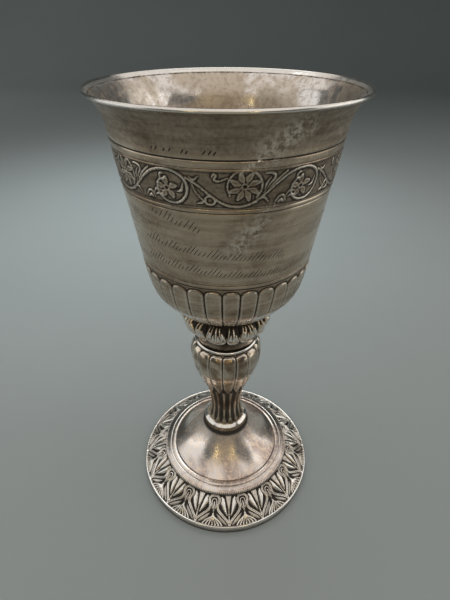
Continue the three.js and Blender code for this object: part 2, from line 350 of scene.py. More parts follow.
# Each sprig: its points, and the half widths that it runs through
SPRIGS = [
    ([(12.2, 3.5), (12.6, 4.2), (13.2, 3.8), (12.7, 2.9), (13.8, 2.4), (15.9, 3.2)], (0.2, 0.24, 0.2)),
    ([(7.0, 1.6), (7.9, -0.6), (9.4, -2.4), (10.3, -3.0), (10.5, -2.1), (11.4, -1.6), (12.5, -2.1),
      (12.9, -3.1), (12.1, -3.9), (10.9, -3.8), (10.3, -3.1)], (0.15, 0.24, 0.3, 0.24)),
    ([(8.2, -3.8), (9.3, -3.5), (10.1, -3.1)], (0.12, 0.4, 0.12)),
    ([(6.4, 3.3), (7.5, 2.5), (8.7, 3.4)], (0.1, 0.3, 0.15)),
    ([(25.3, -0.9), (26.6, 1.3), (27.7, 2.6), (27.7, 3.7), (26.6, 4.2), (24.9, 4.2)],
     (0.15, 0.3, 0.34, 0.15)),
    ([(25.4, -0.3), (25.7, 1.4), (26.7, 3.0)], (0.12, 0.34, 0.12)),
    ([(26.2, -0.3), (27.6, 1.3), (29.3, 2.9), (31.0, 4.2)], (0.12, 0.3, 0.2)),
    ([(23.4, -3.5), (24.3, -2.4), (25.5, -2.2), (26.7, -3.4)], (0.2, 0.32, 0.2)),
    ([(28.8, -3.6), (29.8, -2.3), (31.0, -2.3), (31.8, -3.8)], (0.2, 0.32, 0.2)),
    ([(29.6, -3.9), (30.4, -3.4), (31.0, -3.9)], (0.2, 0.4, 0.2)),
    ([(3.0, -1.1), (4.2, -0.6), (4.7, 1.3)], (0.15, 0.4, 0.15)),
    ([(-0.6, 1.1), (-1.7, 2.1), (-1.3, 3.2), (0.1, 3.3)], (0.15, 0.26, 0.3, 0.12)),
    ([(-1.3, -1.6), (-3.4, -1.3), (-4.5, -2.8)], (0.15, 0.3, 0.15)),
    ([(-1.3, -2.6), (-2.8, -2.5), (-4.1, -3.1)], (0.15, 0.34, 0.12)),
]
# Each blossom: its centre, its number of petals, where they start and end, and their half width
BLOSSOMS = [(FLOWER, 5, 0.9, 2.8, 0.85), (ROSETTE, 8, 1.1, 3.7, 0.82)]


def frieze_relief(columns, heights):
    """One repeat as the highest of its beads: the vine and the rosette's open ring, both with a fine cut
    along their middle, the sprigs, and the blossoms with hollowed petals and a punched eye."""
    x, y = np.meshgrid(np.arange(columns) / columns * TILE, heights - FRIEZE_MIDDLE)
    angle = np.radians(np.linspace(-42, 212, 9))
    ring = np.array(ROSETTE) + RING_RADIUS * np.stack([np.cos(angle), np.sin(angle)], axis=1)
    raised = stroke(x, y, VINE, (0.24, 0.34, 0.34, 0.34, 0.3, 0.24), 0.2, TILE)
    raised = np.maximum(raised, stroke(x, y, ring, (0.3, 0.32, 0.2), 0.2, TILE, 6))
    for points, widths in SPRIGS:
        raised = np.maximum(raised, stroke(x, y, points, widths, 0.18, TILE, 6))
    for centre, petals, inner, outer, width in BLOSSOMS:
        for angle in np.radians(np.arange(petals) * 360 / petals + 18):
            away = np.array([math.cos(angle), math.sin(angle)])
            side = np.array([-away[1], away[0]]) * 0.18
            middle = centre + away * (inner + outer) / 2 + side
            petal = [centre + away * inner, middle, centre + away * outer]
            leaf = stroke(x, y, petal, (0.2, width, 0.5 * width), 0.2, TILE, 6)
            leaf -= stroke(x, y, petal, (0.1, 0.6 * width, 0.12), 0.12, TILE, 6)
            raised = np.maximum(raised, leaf)
        eye = np.hypot(x - centre[0], y - centre[1])
        eye = np.minimum(eye, np.hypot(x - centre[0] - TILE, y - centre[1]))
        raised = np.maximum(raised, 0.2 * hump(eye, 0.72, 0.16))
        raised -= 0.4 * (1 - smooth(0.3, 0.55, eye))
    raised -= stroke(x, y, VINE[1:10], (0.12, 0.12), 0.13, TILE)
    raised -= stroke(x, y, ring[:7], (0.12, 0.12), 0.13, TILE, 6)
    edge = smooth(FRIEZE_LOW, FRIEZE_LOW + 0.5, heights)
    edge = edge * (1 - smooth(FRIEZE_HIGH - 0.5, FRIEZE_HIGH, heights))
    return (raised - 0.06) * edge[:, None]


def frieze_band():
    """The frieze round the wall: patina on its ground and in its hollows, bright on its beads."""
    heights = np.linspace(FRIEZE_LOW, FRIEZE_HIGH, FRIEZE_ROWS)
    relief = np.tile(frieze_relief(FRIEZE_COLUMNS, heights), (1, FRIEZE_REPEATS))
    dark = 0.52 * (1 - smooth(-0.03, 0.07, relief)) + 0.7 * hollows(relief, 2, 0.06)
    dark = dark + smooth(0.12, 0.3, -relief) - 0.75 * smooth(0.05, 0.12, relief)
    wall = np.stack([cone_radius(heights), heights], axis=1)
    angles = turns(FRIEZE_COLUMNS * FRIEZE_REPEATS, FRIEZE_TURN)
    return band(wall, angles, relief, np.clip(dark, -1, 1))


# Rows of strokes on the wall: first and last turn, height at both ends, and the strokes' height
WALL_ROWS = [(-39, -14, 146.2, 142.4, 3.4), (-48, 32, 136.6, 132.4, 3.6), (-50, 36, 129.9, 126.4, 3.4)]
LIP_ROWS = [(-31.5, -28, 164.0, 164.0, 3.0), (-25.5, -23, 164.2, 164.2, 2.6), (-18, -14, 164.0, 164.0, 2.2),
            (-9.5, -5, 164.0, 164.0, 2.2)]


def rows_of_strokes(rows, seed, half_width, height):
    """Rows of shallow plain strokes, all leaning alike, whose height rises and falls as a sine along the
    row: closed beads on the wall, dark with patina."""
    chance = np.random.default_rng(seed)
    t = np.linspace(0, 1, 9)
    lines = []
    for start, end, low, high, tall in rows:
        turn = start
        while turn < end:
            base = low + (high - low) * (turn - start) / (end - start)
            length = tall * (0.72 + 0.28 * math.sin(turn * 0.55))
            along = t * length / math.tan(math.radians(54))
            lines.append((np.radians(turn) + along / cone_radius(base), base + t * length))
            turn += chance.uniform(1.9, 2.5)
    angle, z = np.array(lines).transpose(1, 0, 2)
    normals = around_axis(1.0, angle, -CONE_SLOPE)
    normals /= np.linalg.norm(normals, axis=-1, keepdims=True)
    points, faces = wires(around_axis(cone_radius(z), angle, z), normals, half_width, height)
    return points, faces, np.full(len(points), 0.9)


# Each scrape: turn and height of its middle, slant in degrees, half length, half width, strength
SCRAPES = [
    (21, 166.8, 35, 8.5, 3.4, 0.75), (12, 162.6, 32, 5.0, 0.8, 1.0), (27, 168.4, 10, 5.0, 1.6, 0.7),
    (9, 141.0, 48, 9.0, 3.2, 0.75), (20, 150.5, 25, 5.0, 1.0, 0.6), (150, 163, 30, 7, 2.5, 0.5),
    (-120, 139, -40, 9, 2.5, 0.4),
]


def scraped_share(places):
    """Where the wall is scraped bright: slanting streaks on the unrolled wall, each a bell across and
    exp(-(along / length)^4) along."""
    turn = np.arctan2(places[:, 0], -places[:, 1])
    share = np.zeros(len(places))
    for mid_turn, mid_z, slant, length, width, strength in SCRAPES:
        x, z = (turn - math.radians(mid_turn)) * 35.0, places[:, 2] - mid_z
        c, s = math.cos(math.radians(slant)), math.sin(math.radians(slant))
        along, off = x * c + z * s, z * c - x * s
        share = np.maximum(share, strength * hump(off, 0, width) * np.exp(-((along / length) ** 4)))
    return share


def lip_bands():
    """The lip's bright round edge, and the worn slope inside it with a line of dirt that comes and goes as
    the product of two waves. Points are measured inwards and down from the lip's top."""
    top = np.array([RIM_RADIUS, HEIGHT])
    edge = [(1.1, 1.25), (0.35, 1.0), (0.05, 0.82), (0.0, 0.62), (0.12, 0.32), (0.32, 0.08), (0.55, 0.0),
            (0.8, 0.14), (1.02, 0.42)]
    slope = [(1.3, 0.68), (1.6, 0.93), (1.85, 1.14), (2.0, 1.27), (2.12, 1.37), (2.3, 1.53), (2.6, 1.8)]
    dirt = np.array([-0.8, -0.8, -0.6, 0.15, 0.8, 0.5, 0.15])[:, None]
    around = turns(BOWL_COLUMNS, 0.0)
    waves = 0.22 * np.sin(71.0 * around) * np.sin(43.0 * around + 1.0)
    dirt = dirt + np.array([0, 0, 0, 1, 1, 1, 0])[:, None] * waves
    angles = turns(BOWL_COLUMNS, FRIEZE_TURN)
    return band(top - np.array(edge), angles, 0.0, -0.8), band(top - np.array(slope), angles, 0.0, dirt)


def bowl_piece():
    """The bowl as rings: the seat, the lobed underside, the plain wall with its lines, the frieze on a
    finer grid, the flare, the lip, and the plain inside down to its floor."""
    under = evenly([(14.6, 99.2), (18, 100.5), (21.4, 102.8), (24.1, 105.9), (26.2, 108.6), (27.5, 111.3),
                    (28.6, 115.6), (29.25, 119.6), (29.62, LOBES_TOP)], 0.32)
    coarse = np.arange(0, len(under) - 16, 4)
    under = np.concatenate([under[coarse], under[coarse[-1] + 1:]])
    lobe_angles = turns(LOBE_COLUMNS, LOBE_TURN, LOBE_WARP, LOBES)
    lower = spaced((122.6, 123.8, 9), (124.1, 125.5, 11), (127, 147.6, 8), (148.4, 150.15, 12))
    lower_lines = [(122.95, 0.22, 0.3), (124.5, 0.13, 0.2), (125.15, 0.1, 0.14), (148.75, 0.13, 0.22),
                   (149.5, -0.3, -0.1), (150.05, 0.12, 0.2)]
    upper = spaced((160.5, 161.2, 6), (162.0, 162.0, 1), (162.3, 163.3, 9), (164.5, 173.4, 12))
    flare, depth = lined_wall(upper, [(160.75, 0.13, 0.16), (162.8, 0.2, 0.34)])
    lip, slope = lip_bands()
    inside = [(38.0, 172.55), (36.2, 169.4), (34.7, 165.0)]
    inside += [(cone_radius(z) - WALL, z) for z in (155.0, 140.0, 125.0)]
    inside += [(27.6, 115.6), (25.2, 109.2), (21.6, 104.8), (16.5, 101.6), (9.0, 100.1), (4.0, BOWL_FLOOR)]
    outer_parts = [
        pole(BOWL_SEAT),
        band([(6, BOWL_SEAT), (10.5, 98.45), (12.6, 98.75)], turns(BOWL_COLUMNS // 2, LOBE_TURN)),
        band(under, lobe_angles, *lobe_relief(under, LOBE_COLUMNS)),
        lined_wall(lower, lower_lines),
        frieze_band(),
        # Above 162.8 the flare darkens towards the lip: painted shade under the lip.
        (flare, np.maximum(depth, 0.5 * smooth(162.8, 165, upper)[:, None])),
        lip,
    ]
    inner_parts = [slope, band(through(inside, 5), turns(BOWL_COLUMNS // 2, FRIEZE_TURN)), pole(BOWL_FLOOR)]
    beads = [rows_of_strokes(WALL_ROWS, 7, 0.15, 0.035), rows_of_strokes(LIP_ROWS, 3, 0.3, 0.05)]
    bowl = build("silver_bowl", outer_parts + inner_parts, extra=beads)
    first, last = count_points(outer_parts), count_points(outer_parts + inner_parts)
    inside_share = np.zeros(len(bowl.data.vertices))
    inside_share[first:last] = 1
    places = np.empty(3 * len(inside_share), np.float32)
    bowl.data.vertices.foreach_get("co", places)
    keep_values(bowl.data, "inside", inside_share)
    keep_values(bowl.data, "worn", scraped_share(places.reshape(-1, 3) / MM) * (1 - inside_share))
    return bowl


# The stem

def stem_relief(profile, columns):
    """On the neck, hollow flutes between thin ridges. On the knop, sixteen panels with round tops and
    tapered feet: pillows that swell as 1 - (x / width)^2, drawn in at the top as a quarter circle, with a
    low bead inside a groove along their outline."""
    phase = (np.arange(columns) / columns * KNOP_LOBES) % 1
    radius, z = profile[:, :1], profile[:, 1:]
    width = 2 * np.pi * radius / KNOP_LOBES
    x = np.abs(phase - 0.5)[None, :] * width
    top = KNOP_TOP - z
    corner = np.minimum(1.5, width / 2)
    taper = width / 2 * smooth(-0.6, 5.5, z - KNOP_FOOT) ** 0.55
    over = np.hypot(np.maximum(x - width / 2 + corner, 0), np.maximum(corner - top, 0)) - corner
    over = np.where(z > KNOP_MIDDLE - 1, over, x - taper)
    on_knop = smooth(KNOP_FOOT - 1, KNOP_FOOT + 1.2, z)
    swell = np.clip(1 - (x / np.maximum(taper, 0.3)) ** 2, 0, 1)
    groove = hump(over, 0, 0.26)
    spandrel = smooth(0.0, 0.25, over)
    low_gap = np.where(z < KNOP_MIDDLE - 1, spandrel, 0)
    pillow = np.sqrt(np.clip(1 - ((z - KNOP_MIDDLE) / 14.5) ** 4, 0, 1))
    shoulder = np.sqrt(1 - (1 - np.clip(top / 4.6, 0, 1)) ** 2) - 1
    lobes = 0.48 * pillow * swell**0.8 * (1 - spandrel) + 0.12 * hump(over, -0.45, 0.2) - 0.62 * groove
    lobes = lobes + 1.05 * shoulder - 0.3 * low_gap
    hollow = 0.45 * width * smooth(33.8, 37.5, z) ** 0.5
    in_flute = 1 - smooth(0.55, 1.0, x / np.maximum(hollow, 0.05))
    relief = on_knop * lobes - 0.75 * (1 - on_knop) * in_flute
    relief[-1] = relief[-1].mean()
    # shine: the rubbed bead inside the groove, and a painted highlight band across the panels at the knop's
    # middle.
    shine = hump(over, -0.45, 0.25) + hump(z, KNOP_MIDDLE, 0.5) * (over < -0.2)
    dark = on_knop * (1.3 * groove + 0.9 * low_gap + 0.3 * spandrel - 0.9 * shine)
    dark = dark + (1 - on_knop) * (0.15 + 0.6 * in_flute)
    return relief, np.clip(dark, -1, 1)


def stem_piece():
    """A baluster: the flange with a milled edge and a bright bevel, the neck and knop, a bright ring, a
    hollow moulding with painted shade that darkens it upwards under the collar, and a plain waist."""
    profile = evenly([(8.5, 34.1), (7.7, 36.6), (7.05, 40.0), (6.95, 43.0), (7.3, 47.5), (8.2, 52.0),
                      (9.4, 56.2), (11.1, 60.8), (12.7, 65.2), (13.85, 69.2), (14.4, 73.0), (14.45, 76.2),
                      (13.95, 78.9), (13.2, 80.8)], 0.42)
    angles = turns(STEM_COLUMNS, KNOP_TURN)
    edge = [(10.1, STEM_BOTTOM + 0.5), (10.12, 31.2), (10.12, 32.0), (10.1, 32.5)]
    teeth = np.array([0.2, 1.0, 1.0, 0.3])[:, None] * 0.2 * np.cos(angles * FLANGE_TEETH) - 0.16
    ring = [(12.9, 81.25), (13.15, 81.6), (13.1, 82.0), (12.8, 82.35), (12.35, 82.45)]
    moulding = through([(12.1, 82.45), (11.3, 82.9), (10.2, 83.7), (9.1, 84.9), (8.3, 86.6)], 4)
    # Painted shade under the collar: the moulding darkens upwards.
    painted_shade_under_collar = np.linspace(0, 1, len(moulding))[:, None] ** 0.6
    parts = [
        pole(STEM_BOTTOM),
        band([(8.0, STEM_BOTTOM), (9.7, STEM_BOTTOM), (9.95, STEM_BOTTOM + 0.25)], angles),
        band(edge, angles, teeth, np.clip(-2.6 * teeth, 0, 0.9)),
        band([(10.02, 32.75), (9.85, 32.95), (9.3, 33.4), (8.85, 33.8)], angles, 0.0, -0.8),
        band(profile, angles, *stem_relief(profile, STEM_COLUMNS)),
        band([(12.95, 81.05), (12.8, 81.15)], angles, 0.0, 0.8),
        band(ring, angles, 0.0, -0.85),
        band(moulding, angles, 0.0, painted_shade_under_collar),
        band([(8.0, 88.0), (8.2, 91.0), (8.2, STEM_TOP)], turns(STEM_COLUMNS // 2, KNOP_TURN), 0.0, 0.6),
        pole(STEM_TOP),
    ]
    return build("baluster_stem", parts)


# The leaf collar

def shell_relief(x, y, half, petals):
    """One shell of the collar, x across it and y up from its tip: a thin bead along the round lower edge,
    hollowed petals above it, a tall rib up the middle, and thin ribs from between the petals to the
    root."""
    edge = [(-half, FAN_DROP + 0.3), (-0.72 * half, 0.32 * FAN_DROP), (0, 0.2),
            (0.72 * half, 0.32 * FAN_DROP), (half, FAN_DROP + 0.3)]
    raised = stroke(x, y, edge, (0.24, 0.3, 0.24), 0.95)
    for across, low in petals:
        petal = [(across, low), (0.92 * across, low + 2.0), (0.75 * across, low + 4.4)]
        leaf = stroke(x, y, petal, (0.8, 0.95, 0.25), 0.85, steps=16)
        leaf = leaf - stroke(x, y, petal[:2], (0.35, 0.45, 0.2), 0.5, steps=16)
        rib = [(across - 0.9, low + 2.4), (0.8 * across - 0.75, 6.5), (0.6 * across - 0.6, 9.5)]
        rib = stroke(x, y, rib, (0.2, 0.26, 0.26), 0.8, steps=16)
        raised = np.maximum.reduce([raised, leaf, rib])
    middle = stroke(x, y, [(0, 0.6), (0, 4.0), (0, 9.0)], (0.3, 0.3, 0.26), 1.0, steps=16)
    return np.maximum(raised, middle)


def collar_piece():
    """Eight wide and eight narrow shells that hang from under the bowl, darker towards their root with
    painted shade. Each ends in a round tip: a column's profile starts along the path by 1 - sqrt(1 - q^2)
    across its shell. The grid of one pair is pushed out by the relief, carried round, and closed behind by
    a plain wall, dark with painted shade."""
    pair = (np.arange(PAIR_COLUMNS) + 0.5) / PAIR_COLUMNS
    wide = pair < WIDE_FAN
    q = np.where(wide, pair / WIDE_FAN, (pair - WIDE_FAN) / (1 - WIDE_FAN)) * 2 - 1
    shell = through([(14.5, 88.75), (15.6, 90.1), (16.6, 91.6), (17.05, 93.2), (16.7, 95.0), (15.3, 96.4),
                     (12.6, 97.2), (9.6, 97.7)], 12)
    path = path_along(shell)
    drop = FAN_DROP * (1 - np.sqrt(np.clip(1 - q**2, 0, 1)))
    along = drop + (path[-1] - drop) * np.linspace(0, 1, 64)[:, None] ** 1.15
    radius, z = (np.interp(along, path, line) for line in shell.T)
    slope_r, slope_z = (np.interp(along + 0.2, path, line) - np.interp(along - 0.2, path, line)
                        for line in shell.T)
    size = np.maximum(np.hypot(slope_r, slope_z), 1e-6)
    half_pair = np.pi * COLLAR_RADIUS / COLLAR_PAIRS
    half = np.where(wide, WIDE_FAN, 1 - WIDE_FAN) * half_pair
    x = q * half + 0 * along
    wide_petals = [(-2.8, 2.8), (-1.15, 1.6), (1.15, 1.6), (2.8, 2.8)]
    wide_shell = shell_relief(x, along, WIDE_FAN * half_pair, wide_petals)
    narrow_shell = shell_relief(x, along, (1 - WIDE_FAN) * half_pair, [(-1.2, 2.0), (1.2, 2.0)])
    ornament = np.where(wide, wide_shell, narrow_shell)
    gap = hump((1 - np.abs(q)) * half, 0, 0.2)
    fade = 1 - smooth(8.5, 10.5, along)
    relief = fade * (ornament - 0.7 + 0.5 * (1 - q**2) - 0.5 * gap)
    shine = smooth(0.4, 0.7, ornament) * (1 - 0.7 * smooth(6.5, 8.5, along))
    # The term 0.3 * smooth(5, 8, along) is painted shade towards the root under the bowl; the rest is
    # patina in the hollows and gaps, less the rubbed ridges.
    dark = 0.3 * smooth(5, 8, along) + 0.75 * smooth(0.25, 0.65, 0.85 - ornament) + 0.6 * gap - shine
    fields = (radius + relief * slope_z / size, z - relief * slope_r / size, np.clip(dark, -1, 1))
    out_r, out_z, dark = (np.tile(field, (1, COLLAR_PAIRS)) for field in fields)
    angles = turns(PAIR_COLUMNS * COLLAR_PAIRS, COLLAR_TURN)
    behind = [(8.55, COLLAR_TOP - 0.2), (8.55, 93.0), (11.0, 92.6), (out_r[0] - 1.2, out_z[0] + 0.5),
              (out_r[0] - 0.6, out_z[0] + 0.05)]
    inner = np.stack([around_axis(r, angles, height) for r, height in behind])
    # The plain wall behind the shells is dark with painted shade.
    parts = [(around_axis(out_r, angles, out_z), dark), (inner, np.full(inner.shape[:2], 0.85))]
    return build("leaf_calyx", parts, closed=True)


# The foot's dome

def dome_height(radius):
    """A hollow curve from the stem to the ring lines: a mix of a falling line and its square."""
    left = np.clip(1 - (radius - DOME_NECK) / 14.4, 0, 1.05)
    return DOME_LOW + (DOME_TOP - DOME_LOW) * (0.55 * left**2 + 0.45 * left)


def dome_piece():
    """The spun dome: the curve a wall's thickness lower, a ring under the milled edge dark with a painted
    shadow, a milled edge whose teeth are a rounded square wave, a flat band, a rounded step with engraved
    rings, and the curve, which darkens to the stem with painted shade."""
    radii = np.linspace(DOME_NECK, 24.2, 40)
    curve = np.stack([radii, dome_height(radii)], axis=1)
    # Painted shade: the curve darkens towards the stem, most where it meets it.
    painted_contact_shade = 0.6 * (1 - smooth(10.2, 11.2, radii)) + 0.46 * (1 - smooth(10.5, 20.0, radii))
    step = through([(24.5, 14.62), (24.8, 14.42), (25.1, 14.55), (25.7, 14.62), (26.4, 14.5), (26.95, 14.3),
                    (27.2, 14.1), (27.5, 14.15), (27.75, 14.12), (28.3, 13.95), (28.9, 13.65)], 3)
    r = step[:, 0]
    dark = hump(r, 24.8, 0.12) + 0.6 * hump(r, 25.35, 0.1) + hump(r, 27.2, 0.14)
    dark = np.clip(dark - 0.35 * smooth(25.4, 27.6, r), -1, 1)
    edge = through([(29.2, 13.5), (29.5, 13.4), (30.1, 13.15), (DISC_RADIUS - 0.05, 12.7),
                    (DISC_RADIUS, 12.3)], 2)
    wave = np.tile([1.0, 0.6, -1.0, 0.6], DISC_TEETH)
    bite = np.array([0, 0, 0, 0.4, 1, 1, 1, 1, 1])[:, None]
    teeth = bite * (0.2 * wave - 0.21)
    edge_dark_and_bright = np.clip(bite * (0.1 - 0.9 * wave), -1, 1)
    under_radii = np.array([23.4, 20.0, 16.5, 13.0, 9.6])
    under = np.stack([under_radii, dome_height(under_radii + 0.9) - WALL], axis=1)
    plain, double, toothed = (turns(k * DISC_TEETH, PALMETTE_TURN) for k in (1, 2, 4))
    parts = [
        pole(DOME_TOP - WALL),
        band(under[::-1], plain),
        band([(24.6, 13.3), (27.4, 12.6), (29.4, 12.1)], plain),
        # A painted shadow on the ring under the milled edge.
        band([(DISC_RADIUS - 0.5, 12.1)], double, 0.0, 0.9),
        band(edge[::-1], toothed, teeth[::-1], edge_dark_and_bright[::-1]),
        band(step[::-1], double, 0.0, dark[::-1, None]),
        band(curve[::-1], plain, 0.0, painted_contact_shade[::-1, None]),
        pole(DOME_TOP),
    ]
    return build("spun_dome", parts)


# The foot's border. Its curves lie in half a repeat, as shares of its width, from the middle of an arch,
# and of the slope, from the dome to the rim.

RIBBON = [(0.5, 1.0), (0.47, 0.93), (0.42, 0.85), (0.355, 0.765), (0.285, 0.685), (0.205, 0.6),
          (0.145, 0.51), (0.125, 0.42), (0.148, 0.31), (0.18, 0.21), (0.162, 0.1), (0.09, 0.03),
          (0.0, 0.012)]
ALMOND = [(0.115, 0.655), (0.19, 0.745), (0.28, 0.84), (0.36, 0.92), (0.42, 0.985)]
PLUMP_LEAF = [(0.27, 0.05), (0.285, 0.16), (0.305, 0.3), (0.36, 0.48), (0.44, 0.7)]
INNER_ARCH = [(0.0, 0.14), (0.05, 0.155), (0.08, 0.23), (0.068, 0.36), (0.045, 0.5)]
TONGUE = [(0.0, 0.26), (0.0, 0.42), (0.0, 0.62)]
NODE = [(0.5, 0.6), (0.5, 0.8), (0.5, 1.02)]
# Each rib of the fan: where it starts and where it bends
FAN = [(0.5, 0.5), (0.455, 0.48), (0.405, 0.458)]
# Each leaf of the palmette: where its tip, its bow and its root lie, and its half width
PALMETTE = [(0.0, 0.0, 0.66, 0.4), (0.095, 0.045, 0.69, 0.36), (0.19, 0.1, 0.71, 0.38),
            (0.28, 0.165, 0.74, 0.36)]


def border_radius(share):
    """The radius at a share of the border's width."""
    return BORDER_INNER + share * (BORDER_OUTER - BORDER_INNER)


def border_height(share):
    """The border's ground: it falls from the dome to the rim as the power 1.25 of the share."""
    return 11.5 - 7.0 * np.clip(share, 0, 1) ** 1.25


def palmette_relief(columns, shares):
    """One repeat, centred on an arch, as the highest of its beads in mirrored halves: a double ribbon in a
    moat from the node at the rim up round the arch, a plump leaf beside it, a fan of ribs that runs down
    to the node, an inner arch with a tongue, a palmette that spreads to the rim, and a low almond."""
    pitch = 2 * np.pi / PALMETTES
    x = np.abs(np.arange(columns) / columns - 0.5)[None, :] * pitch * border_radius(shares)[:, None]
    y = shares[:, None] * BORDER_SLOPE + 0 * x

    def bead(points, widths, height):
        placed = [(across * pitch * border_radius(down), down * BORDER_SLOPE) for across, down in points]
        return stroke(x, y, placed, widths, height)

    raised = np.maximum.reduce([bead([(0.012, root), (bow, 0.86), (tip, 1.0)], (0.24, width, 0.3), 0.66)
                                for tip, bow, root, width in PALMETTE])
    almond = bead(ALMOND, (0.15, 0.8, 0.95, 0.75, 0.12), 0.42)
    in_almond = (almond > raised) * smooth(0.0, 0.25, almond)
    plump = bead(PLUMP_LEAF, (0.35, 0.95, 1.15, 0.8, 0.15), 0.95)
    ribs = [bead([(top, -0.02), (bend, 0.3), (0.5, 0.62)], (0.27, 0.22, 0.16), 0.68) for top, bend in FAN]
    raised = np.maximum.reduce([raised, almond, plump, *ribs])
    ribbon_widths = np.array([0.45, 0.5, 0.56, 0.6, 0.6, 0.6])
    moat = bead(RIBBON, ribbon_widths + 0.34, 1.0) > 0
    arch = bead(INNER_ARCH, (0.25, 0.27, 0.25, 0.2), 0.6)
    tongue = bead(TONGUE, (0.28, 0.36, 0.2), 0.75)
    node = bead(NODE, (0.2, 0.3, 0.55), 0.72)
    raised = np.maximum.reduce([np.where(moat, 0.0, raised), arch, tongue, node])
    ribbon = bead(RIBBON, ribbon_widths, 0.78) - bead(RIBBON, (0.14, 0.18, 0.2, 0.2), 0.5)
    raised = np.where(ribbon > 0.02, ribbon, raised)
    fade = smooth(-0.02, 0.05, shares) * (1 - smooth(0.985, 1.03, shares))
    relief = (raised - 0.68) * fade[:, None]
    dark = smooth(0.3, 0.58, -relief) + 0.42 * np.where(moat, 0, in_almond)
    dark = dark + 0.6 * hollows(np.tile(relief, (1, 3)), 1, 0.18)[:, columns:2 * columns]
    # 0.8 * (1 - smooth(0.0, 0.05, shares)) is a painted shadow along the inner edge under the dome's milled
    # edge; the last term rubs the high places bright.
    dark = dark + 0.8 * (1 - smooth(0.0, 0.05, shares))[:, None] - 0.8 * smooth(0.5, 0.78, raised)
    return relief, np.clip(dark, -1, 1)


def border_piece():
    """The border: the flat resting ring, the upright edge, dark with painted shade, a narrow rim bright
    with a painted highlight, the palmettes on a fine grid, the inner edge under the dome's band and the
    plain underside."""
    start = PALMETTE_TURN - 180 / PALMETTES
    plain = turns(BORDER_COLUMNS, start)
    shares = np.linspace(-0.03, 1.03, 64)
    relief, dark = (np.tile(field, (1, PALMETTES)) for field in palmette_relief(PALMETTE_COLUMNS, shares))
    profile = np.stack([border_radius(shares), border_height(shares)], axis=1)
    inwards = [(0.35, 0.0), (0.3, 0.35), (0.22, 1.2), (0.2, 2.6), (0.05, 3.2), (0.0, 3.8), (0.04, 4.2),
               (0.22, 4.48), (0.45, 4.56)]
    edge = [(FOOT_RADIUS - back, z) for back, z in inwards]
    # Painted shade on the upright edge, lighter upwards, and a painted highlight on the narrow rim at its
    # top.
    edge_dark_and_bright = np.array([0.9, 0.8, 0.65, 0.5, 0.1, -0.5, -0.9, -1.0, -1.0])[:, None]
    under = [(28.4, 11.3), (28.4, 10.2), (32.0, 9.0), (36.0, 6.2), (38.4, 3.4), (38.4, 0.3), (38.6, 0.0)]
    parts = [
        band(edge, plain, 0.0, edge_dark_and_bright),
        band(profile[::-1], turns(PALMETTE_COLUMNS * PALMETTES, start), relief[::-1], dark[::-1]),
        band(under, plain, 0.0, 0.5),
    ]
    return build("palmette_border", parts, closed=True)


# Shader nodes

def add_node(tree, kind, links=(), **values):
    """A node with its inputs linked or valued."""
    node = tree.nodes.new(kind)
    for key, value in values.items():
        setattr(node, key, value)
    for key, source in dict(links).items():
        if isinstance(source, bpy.types.NodeSocket):
            tree.links.new(source, node.inputs[key])
        else:
            node.inputs[key].default_value = source
    return node


def math_node(tree, operation, a, b=0.0, clamp=False):
    """A number worked out from one or two others."""
    return add_node(tree, "ShaderNodeMath", {0: a, 1: b}, operation=operation, use_clamp=clamp).outputs[0]


def mix_number(tree, share, a, b):
    """a where the share is 0, b where it is 1."""
    return add_node(tree, "ShaderNodeMix", {0: share, 2: a, 3: b}, data_type="FLOAT").outputs[0]


def mix_colour(tree, share, a, b):
    """The colour a where the share is 0, b where it is 1."""
    a, b = ((*colour, 1.0) if isinstance(colour, tuple) else colour for colour in (a, b))
    return add_node(tree, "ShaderNodeMix", {0: share, 6: a, 7: b}, data_type="RGBA").outputs[2]


def attribute(tree, name):
    """A piece's own attribute of that name."""
    return add_node(tree, "ShaderNodeAttribute", attribute_name=name).outputs["Fac"]


def object_place(tree):
    """The place in Object coordinates."""
    return add_node(tree, "ShaderNodeTexCoord").outputs["Object"]


def noise(tree, place, scale, detail, roughness=0.5, distortion=0.0):
    """Cloudy noise from 0 to 1 at a place."""
    links = {"Vector": place, "Scale": scale, "Detail": detail, "Roughness": roughness}
    return add_node(tree, "ShaderNodeTexNoise", {**links, "Distortion": distortion}).outputs["Fac"]


def stretched(tree, place, x, y, z):
    """The place with each of its directions scaled."""
    factors = add_node(tree, "ShaderNodeCombineXYZ", {"X": x, "Y": y, "Z": z}).outputs[0]
    return add_node(tree, "ShaderNodeVectorMath", {0: place, 1: factors}, operation="MULTIPLY").outputs[0]


def ramp_between(tree, value, low, high):
    """A smooth step from low to high."""
    links = {"Value": value, "From Min": low, "From Max": high}
    return add_node(tree, "ShaderNodeMapRange", links, interpolation_type="SMOOTHSTEP").outputs["Result"]


# Shader groups

def new_group(name, inputs, outputs):
    """A group with named number inputs and outputs; gives its tree, its inputs and a way to put out."""
    tree = bpy.data.node_groups.new(name, "ShaderNodeTree")
    for label, value in inputs.items():
        socket = tree.interface.new_socket(label, in_out="INPUT", socket_type="NodeSocketFloat")
        socket.default_value = value
    for label in outputs:
        tree.interface.new_socket(label, in_out="OUTPUT", socket_type="NodeSocketFloat")
    given = tree.nodes.new("NodeGroupInput").outputs
    ends = tree.nodes.new("NodeGroupOutput").inputs
    return tree, given, lambda label, value: tree.links.new(value, ends[label])


def cloud_group():
    """Cloudy patches: noise stretched between two levels by a smooth step."""
    tree, given, put = new_group("tarnish_clouds", {"Scale": 40.0, "Low": 0.4, "High": 0.65}, ["Mask"])
    clouds = noise(tree, object_place(tree), given["Scale"], 5.0, 0.6, 0.6)
    put("Mask", ramp_between(tree, clouds, given["Low"], given["High"]))
    return tree


